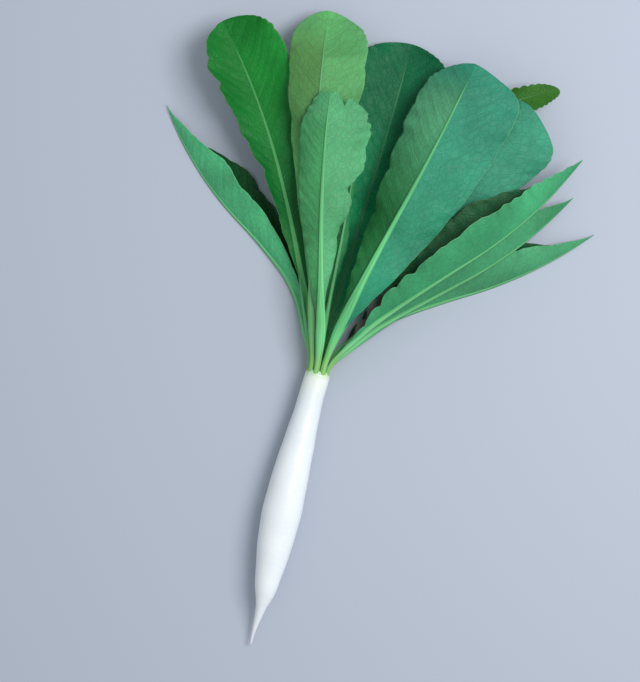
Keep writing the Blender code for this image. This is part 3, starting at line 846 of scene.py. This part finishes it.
def side_veins(n, point, across, along, to_edge, spacing):
    """How strongly a place lies on a side vein, or more faintly on a minor vein between two of them.

    Side veins are where the distance along the leaf, less a growing share of the distance across, is a
    whole number of spacings. Those of the two halves alternate, and all of them fade towards the edge.
    """
    distance = n.math("ABSOLUTE", across)
    other_half = n.math("GREATER_THAN", across, 0.0)
    wander = n.times(n.math("SUBTRACT", n.noise(point, 45.0, 2.0), 0.5), 0.010)
    slant = n.times(distance, VEIN_SLANT)
    back = n.plus(slant, n.times(n.math("POWER", distance, 2.0), VEIN_CURVE))
    foot = n.plus(n.math("SUBTRACT", along, back), wander)
    turns = n.plus(n.math("DIVIDE", foot, spacing), n.times(other_half, 0.5))
    from_vein = n.times(n.math("PINGPONG", turns, 0.5), spacing)
    from_minor = n.times(n.math("PINGPONG", n.times(turns, 3.0), 0.5), spacing / 3)
    minor = n.times(n.ramp(from_minor, 0.0008, 0.0002), 0.28)
    veins = n.math("MAXIMUM", n.ramp(from_vein, 0.0011, 0.0002), minor)
    return n.times(veins, n.ramp(to_edge, 1.0, 0.35, 0.15, 1.0))


def vein_net(n, point, across, along):
    """The net of small veins: walls of irregular cells in the sheet of the leaf, in two sizes.

    Noise shifts each place a little, so that the walls don't run straight.
    """
    sheet = n.add("ShaderNodeCombineXYZ", {0: across, 1: n.times(along, 0.8), 2: 0.0}).outputs[0]
    warp = n.add("ShaderNodeTexNoise", {"Vector": point, "Scale": 90.0, "Detail": 2.0}).outputs["Color"]
    shift = n.add("ShaderNodeVectorMath", {0: warp, "Scale": 0.006}, operation="SCALE").outputs[0]
    sheet = n.add("ShaderNodeVectorMath", {0: sheet, 1: shift}).outputs[0]
    net = n.ramp(n.cells(sheet, 170.0), 0.13, 0.0)
    fine_net = n.ramp(n.cells(sheet, 480.0), 0.16, 0.0)
    return n.math("MAXIMUM", n.times(net, 0.8), n.times(fine_net, 0.25))


def blade_colour(n, blade, point, veins, pale_vein):
    """The blade's green in slow patches, with light specks, veins darkened by their own reddish tone and
    painted shade, and pale feet of side veins.
    """
    patches = n.ramp(n.noise(point, 28.0, 4.0), 0.3, 0.72)
    colour = n.mix(patches, opaque(blade, 0.84), opaque(blade, 1.14))
    speckle = n.ramp(n.noise(point, 900.0, 2.0), 0.35, 0.75)
    colour = n.mix(n.times(speckle, 0.16), colour, opaque(blade, 1.5))
    # Vein colour: partly the veins' own reddish tone, partly painted shade of the creases along them
    vein_shade_tone = [c * f for c, f in zip(blade, (1.0, 0.56, 0.66))]
    pale_tone = [c * f + a for c, f, a in zip(blade, (1.6, 1.3, 1.3), (0.02, 0.06, 0.02))]
    colour = n.mix(veins, colour, opaque(vein_shade_tone))
    return n.mix(n.times(pale_vein, 0.40), colour, opaque(pale_tone))


def rib_colour(n, looks, share, streaks):
    """The midrib's pale green, deeper towards the tip and greener at the foot, with darker streaks."""
    colour = n.mix(n.ramp(share, 0.12, 0.85), opaque(looks.rib), opaque(looks.rib, 0.72))
    colour = n.mix(1.0, colour, n.attribute("rib_tint", "Color"), "MULTIPLY")
    colour = n.mix(n.ramp(share, 0.0, 0.13), opaque(looks.stalk_foot), colour)
    streak = n.ramp(n.noise(streaks, 1.6, 2.0), 0.42, 0.60, 0.0, 0.65)
    streak_tone = [c * f for c, f in zip(looks.rib, (0.48, 0.60, 0.40))]
    return n.mix(streak, colour, opaque(streak_tone))


def leaf_material(name, looks, underside):
    """Leaf tissue: a veined blade, a pale midrib with darker streaks, and a thin rim: a painted highlight
    on the undersides, brown on the upper sides.

    The piece's UV map holds the distances across and along the leaf, scaled into its square. The place
    of each vertex is its distance across, as a share of the rib's and of the blade's half width there,
    and its share of the leaf's length.
    """
    n = Nodes(name)
    uv = n.add("ShaderNodeSeparateXYZ", {0: n.add("ShaderNodeUVMap", uv_map="along_leaf").outputs[0]})
    across = n.times(n.math("SUBTRACT", uv.outputs[0], 0.5), UV_ACROSS)
    along = n.times(uv.outputs[1], UV_ALONG)
    place = n.add("ShaderNodeSeparateXYZ", {0: n.attribute("place", "Vector")})
    rib_ratio, to_edge, share = place.outputs
    point = n.add("ShaderNodeTexCoord").outputs["Object"]

    off_rib = n.ramp(rib_ratio, 0.9, 1.4)
    near_rib = n.ramp(n.math("ABSOLUTE", across), 0.030, 0.006)
    side_vein = side_veins(n, point, across, along, to_edge, looks.vein_spacing)
    pale_vein = n.times(n.times(side_vein, near_rib), off_rib)
    veins = n.times(n.math("MAXIMUM", side_vein, vein_net(n, point, across, along)), off_rib)
    blade = looks.under if underside else looks.upper
    # Veins darker: partly their own tone, partly painted shade of the creases along them
    painted_vein_shade = n.times(veins, 0.42 if underside else 0.30)
    colour = blade_colour(n, blade, point, painted_vein_shade, pale_vein)
    # The tint holds each leaf's own colour, and on some leaves painted light and shade as well
    colour = n.mix(1.0, colour, n.attribute("tint", "Color"), "MULTIPLY")

    streaks = {0: n.times(rib_ratio, 1.7), 1: n.times(along, 9.0), 2: 0.0}
    streaks = n.add("ShaderNodeCombineXYZ", streaks).outputs[0]
    on_rib = n.ramp(rib_ratio, 1.18, 0.86)
    on_rib = n.times(on_rib, n.ramp(share, 0.25, 0.6, 1.0, 0.92 if underside else 0.75))
    on_rib = n.times(on_rib, n.ramp(share, 0.97, 0.88))
    colour = n.mix(on_rib, colour, rib_colour(n, looks, share, streaks))
    # Thin rim: painted highlight along the edges of the undersides, brown on the upper sides
    rim = n.times(n.ramp(to_edge, 0.978, 0.996), 0.40)
    n.shade("Base Color", n.mix(rim, colour, opaque(RIM_HIGHLIGHT_UNDER if underside else RIM_UPPER)))

    shine = n.ramp(n.noise(point, 130.0, 3.0), 0.3, 0.7, looks.roughness - 0.07, looks.roughness + 0.09)
    n.shade("Roughness", shine)
    n.shade("Specular IOR Level", 0.20)
    grain = n.times(n.noise(point, 1400.0, 2.0), 0.25)
    raised = n.times(veins, 1.0 if underside else -1.0)
    ridges = n.times(n.noise(streaks, 3.5, 2.0), n.times(on_rib, 1.2))
    n.bump(n.plus(n.plus(raised, grain), ridges), looks.vein_relief)
    return n.material


def root_material(looks):
    """Moist white skin with faint rings, painted shade towards the crown, green at the crown's rim and
    lilac grey in the thin tail.
    """
    n = Nodes("daikon_skin")
    point = n.add("ShaderNodeTexCoord").outputs["Object"]
    along = n.add("ShaderNodeSeparateXYZ", {0: point}).outputs["Y"]
    stretched = n.add("ShaderNodeMapping", {"Vector": point, "Scale": (1.0, 7.0, 1.0)}).outputs[0]
    rings = n.noise(stretched, 60.0, 4.0, 0.6)
    clouds = n.ramp(n.noise(point, 40.0, 3.0), 0.3, 0.75)
    colour = n.mix(clouds, opaque(looks.skin), opaque(looks.skin, 1.035))
    faint = n.times(n.ramp(rings, 0.58, 0.76), 0.22)
    colour = n.mix(faint, colour, opaque([c * f for c, f in zip(looks.skin, (0.88, 0.93, 0.90))]))
    crown_y, tail_y = float(ROOT_HIGH[1]), float(ROOT_LOW[1])
    ragged = n.plus(along, n.times(n.noise(point, 220.0, 3.0), 0.007))
    cream = n.ramp(ragged, crown_y - 0.026, crown_y + 0.002)
    colour = n.mix(n.times(cream, 0.5), colour, opaque(CREAM))
    green = n.ramp(ragged, crown_y - 0.0035, crown_y + 0.0035)
    colour = n.mix(n.times(green, 0.85), colour, opaque(looks.crown))
    # Painted shade: the skin darkens towards the crown, standing in for the light falling off there
    painted_neck_shade = n.ramp(along, crown_y - 0.110, crown_y - 0.010)
    colour = n.mix(painted_neck_shade, colour, opaque(NECK_PAINTED_SHADE), "MULTIPLY")
    tail = n.ramp(ragged, tail_y + 0.034, tail_y + 0.004)
    colour = n.mix(n.times(tail, 0.40), colour, opaque(looks.tail))
    n.shade("Base Color", colour)
    n.shade("Roughness", n.ramp(rings, 0.3, 0.75, 0.30, 0.44))
    n.shade("Subsurface Weight", 0.22)
    n.shade("Subsurface Radius", (1.0, 0.9, 0.75))
    n.shade("Subsurface Scale", 0.003)
    pores = n.noise(point, 1100.0, 3.0)
    n.bump(n.plus(n.times(rings, 0.8), n.times(pores, 0.25)), 0.00016)
    return n.material


def root_surface(looks):
    """The root as rings round its bent axis, from the crown's dome to the tail's tip.

    Radius is the profile's, plus slow swells, shallow creases across the root, and small round dents
    where side roots were. Points under the surface that it lies on are brought up to it.
    """
    knots, radii = zip(*ROOT_PROFILE)
    share = np.linspace(0, 1, ROOT_ROWS)
    angle = np.arange(ROOT_SIDES) * 2 * np.pi / ROOT_SIDES - np.pi / 2
    radius = BELLY_RADIUS * hermite(share, knots, radii)[:, None] * np.ones(ROOT_SIDES)
    thick = smoothstep(radius / 0.008)
    round_x, round_z = np.cos(angle), np.sin(angle)
    radius += looks.unevenness * thick * swells(3, 7, share[:, None] * 9, round_x * 0.35, round_z * 0.35)
    crease = swells(8, 9, share[:, None] * 60, round_x * 0.5, round_z * 0.5)
    radius -= CREASE_DEPTH * thick * smoothstep((crease - 0.9) / 0.8)
    draw = np.random.default_rng(21)
    for i in range(SCAR_COUNT):
        at = draw.uniform(*SCAR_SPAN)
        turn = (i % 2) * np.pi + draw.normal(0.35, 0.28)
        off = np.angle(np.exp(1j * (angle - turn))) * radius
        along = (share[:, None] - at) * ROOT_LENGTH
        near = np.exp(-((along / SCAR_LENGTH) ** 2) - (off / draw.uniform(*SCAR_WIDTHS)) ** 2)
        radius -= looks.scar_depth * thick * near
    body = root_axis(share)[:, None, :] + np.zeros((1, ROOT_SIDES, 1))
    body[..., 0] += radius * round_x
    body[..., 2] += radius * round_z
    dome = np.linspace(np.pi / 2, 0, CROWN_ROWS, endpoint=False)[1:]
    crown = root_axis(0.0) + np.zeros((len(dome), ROOT_SIDES, 1))
    ring = radius[0] * np.cos(dome)[:, None]
    crown[..., 0] += ring * round_x
    crown[..., 1] += (CROWN_DOME * np.sin(dome))[:, None]
    crown[..., 2] += ring * round_z
    grid = np.concatenate([crown, body])
    grid[..., 2] = np.maximum(grid[..., 2], 0.0)
    poles = [root_axis(0.0) + (0, CROWN_DOME, 0), root_axis(1.0) - (0, TAIL_POINT, 0)]
    return grid, np.array(poles)


def tube_faces(rows, sides):
    """Quads round a closed tube of rings, and triangles that close both ends on a point each."""
    index = np.arange(rows * sides).reshape(rows, sides)
    beside = np.roll(index, -1, axis=1)
    quads = np.stack([index[:-1], beside[:-1], beside[1:], index[1:]], axis=-1).reshape(-1, 4)
    first = np.stack([beside[0], index[0], np.full(sides, rows * sides)], axis=-1)
    last = np.stack([index[-1], beside[-1], np.full(sides, rows * sides + 1)], axis=-1)
    return [quads, first, last]


class DAIKON_OT_root(bpy.types.Operator):
    """Add the white root with its crown and tail."""

    bl_idname = "daikon.root"
    bl_label = "Add root"

    def execute(self, context):
        looks = context.scene.daikon_root
        grid, poles = root_surface(looks)
        points = np.concatenate([grid.reshape(-1, 3), poles])
        mesh = new_mesh("white_root", points, tube_faces(*grid.shape[:2]))
        placed("white_root", mesh, [root_material(looks)], "taproot")
        return {"FINISHED"}


class DAIKON_OT_leaves(bpy.types.Operator):
    """Add the leaves, each lying on those below it."""

    bl_idname = "daikon.leaves"
    bl_label = "Add leaves"

    def execute(self, context):
        looks = context.scene.daikon_leaves
        kinds = (("leaf_upper_face", False), ("leaf_under_face", True))
        sides = [leaf_material(name, looks, underside) for name, underside in kinds]
        found = lifts(LEAVES)
        for leaf in LEAVES:
            upper, lower, across, way = fine_leaf(leaf, found[leaf.name], looks)
            faces = sheet_faces(*across.shape)
            points = np.concatenate([upper.reshape(-1, 3), lower.reshape(-1, 3)])
            name = leaf.name.replace("leaf_", "") + "_blade"
            mesh = new_mesh(name, points, faces)
            self.mark(mesh, leaf, across, way, len(faces[0]))
            placed(name, mesh, sides, leaf.name)
        return {"FINISHED"}

    def mark(self, mesh, leaf, across, way, upper_count):
        """The UV map, the places and tints that the materials read, and the side of each face."""
        share = np.broadcast_to(way.share[:, None], across.shape)
        width = np.where(across < 0, way.width[0][:, None], way.width[1][:, None])
        place = np.stack([np.abs(across) / way.rib[:, None], np.abs(across) / width, share], axis=-1)
        set_attribute(mesh, "place", np.tile(place.reshape(-1, 3), (2, 1)))
        pairs = np.stack([across / UV_ACROSS + 0.5, share * leaf.length / UV_ALONG + 0.02], axis=-1)
        set_uv(mesh, np.tile(pairs.reshape(-1, 2), (2, 1)))
        tone_and_painted_light = 1 + 0.10 * leaf_swells(leaf, TINT_SEED, 4, share * 2.5, across * 12)[..., None]
        flushed = (leaf.flush * smoothstep((FLUSH_END - share) / 0.14))[..., None]
        upper = np.array(leaf.upper) * (1 - flushed) + np.array(BROWN_FLUSH) * flushed
        # second and low: on some leaves painted light where other leaves shade them, and painted shade low
        # down
        high = smoothstep((share - HIGH_FROM) / 0.4)[..., None]
        second = np.array(leaf.second[0]) * (1 - high) + np.array(leaf.second[1]) * high
        second = 1 + (second - 1) * smoothstep((TIP_FADE_END - share) / 0.14)[..., None]
        low = np.array(leaf.low) * (1 - high) + high
        tone_and_painted_light = tone_and_painted_light * low * np.where(across[..., None] > 0, second, 1.0)
        tints = [upper * tone_and_painted_light, np.array(leaf.under) * tone_and_painted_light]
        set_attribute(mesh, "tint", np.concatenate([t.reshape(-1, 3) for t in tints]))
        set_attribute(mesh, "rib_tint", np.tile(leaf.rib, (2 * across.size, 1)))
        kinds = np.ones(len(mesh.polygons), np.int32)
        kinds[:upper_count] = 0
        mesh.polygons.foreach_set("material_index", kinds)


class DAIKON_OT_stage(bpy.types.Operator):
    """Add the plain floor, the soft light and the camera that looks straight down."""

    bl_idname = "daikon.stage"
    bl_label = "Add floor, light and camera"

    def execute(self, context):
        looks = context.scene.daikon_stage
        scene = context.scene
        x = FLOOR_HALF_SIZE * np.array([-1, 1, 1, -1])
        y = FLOOR_HALF_SIZE * np.array([-1, -1, 1, 1])
        corners = np.stack([x, y, np.full(4, -FLOOR_DROP)], axis=-1)
        floor = bpy.data.objects.new("floor", new_mesh("floor", corners, [np.array([[0, 1, 2, 3]])]))
        scene.collection.objects.link(floor)
        n = Nodes("floor_paint")
        n.shade("Base Color", opaque(looks.floor))
        n.shade("Roughness", 0.9)
        floor.data.materials.append(n.material)
        self.light(scene, looks)
        self.camera(scene)
        return {"FINISHED"}

    def light(self, scene, looks):
        """One large soft light from the upper right of the picture, and an even sky."""
        target = Vector(LIGHT_TARGET)
        key = bpy.data.lights.new("key", "AREA")
        key.shape = "SQUARE"
        key.size = LIGHT_SIZE
        key.energy = looks.key
        lamp = bpy.data.objects.new("key", key)
        lamp.location = target + Vector(LIGHT_OFFSET)
        lamp.rotation_euler = (target - lamp.location).to_track_quat("-Z", "Y").to_euler()
        scene.collection.objects.link(lamp)
        world = bpy.data.worlds.new("even_sky")
        world.use_nodes = True
        sky = world.node_tree.nodes["Background"].inputs
        sky["Color"].default_value = SKY_COLOUR
        sky["Strength"].default_value = looks.sky
        scene.world = world
        scene.view_settings.view_transform = "Standard"

    def camera(self, scene):
        """A long lens straight above, turned like the photograph, with the crown at its pixel."""
        turn = np.radians(CAMERA_TURN)
        right = Vector((np.cos(turn), np.sin(turn), 0))
        up = Vector((-np.sin(turn), np.cos(turn), 0))
        crown = Vector(root_axis(0.0))
        middle = crown + right * ((IMAGE_SIZE[0] / 2 - CROWN_PIXEL[0]) * METRES_PER_PIXEL)
        middle += up * ((CROWN_PIXEL[1] - IMAGE_SIZE[1] / 2) * METRES_PER_PIXEL)
        lens = bpy.data.cameras.new("camera")
        lens.sensor_width = SENSOR
        lens.lens = SENSOR * CAMERA_HEIGHT / (IMAGE_SIZE[1] * METRES_PER_PIXEL)
        view = bpy.data.objects.new("camera", lens)
        turned_down = Matrix((right, up, Vector((0, 0, 1)))).transposed().to_4x4()
        above = Matrix.Translation((middle.x, middle.y, crown.z + CAMERA_HEIGHT))
        view.matrix_world = above @ turned_down
        scene.collection.objects.link(view)
        scene.camera = view


class DAIKON_PT_panel(bpy.types.Panel):
    """Sidebar panel with the radish's pieces and looks."""

    bl_idname = "DAIKON_PT_panel"
    bl_label = "Daikon radish"
    bl_space_type = "VIEW_3D"
    bl_region_type = "UI"
    bl_category = "Daikon"

    def draw(self, context):
        for (group, kind), operator in zip(LOOKS.items(), OPERATORS):
            box = self.layout.box()
            for name in kind.__annotations__:
                box.prop(getattr(context.scene, group), name)
            box.operator(operator.bl_idname)


LOOKS = {"daikon_root": RootLooks, "daikon_leaves": LeafLooks, "daikon_stage": StageLooks}
OPERATORS = (DAIKON_OT_root, DAIKON_OT_leaves, DAIKON_OT_stage)
CLASSES = (*LOOKS.values(), *OPERATORS, DAIKON_PT_panel)


def register():
    for kind in CLASSES:
        bpy.utils.register_class(kind)
    for group, kind in LOOKS.items():
        setattr(bpy.types.Scene, group, PointerProperty(type=kind))


def unregister():
    for group in LOOKS:
        delattr(bpy.types.Scene, group)
    for kind in reversed(CLASSES):
        bpy.utils.unregister_class(kind)


def main():
    register()
    bpy.ops.daikon.root()
    bpy.ops.daikon.leaves()
    bpy.ops.daikon.stage()


if __name__ == "__main__":
    main()
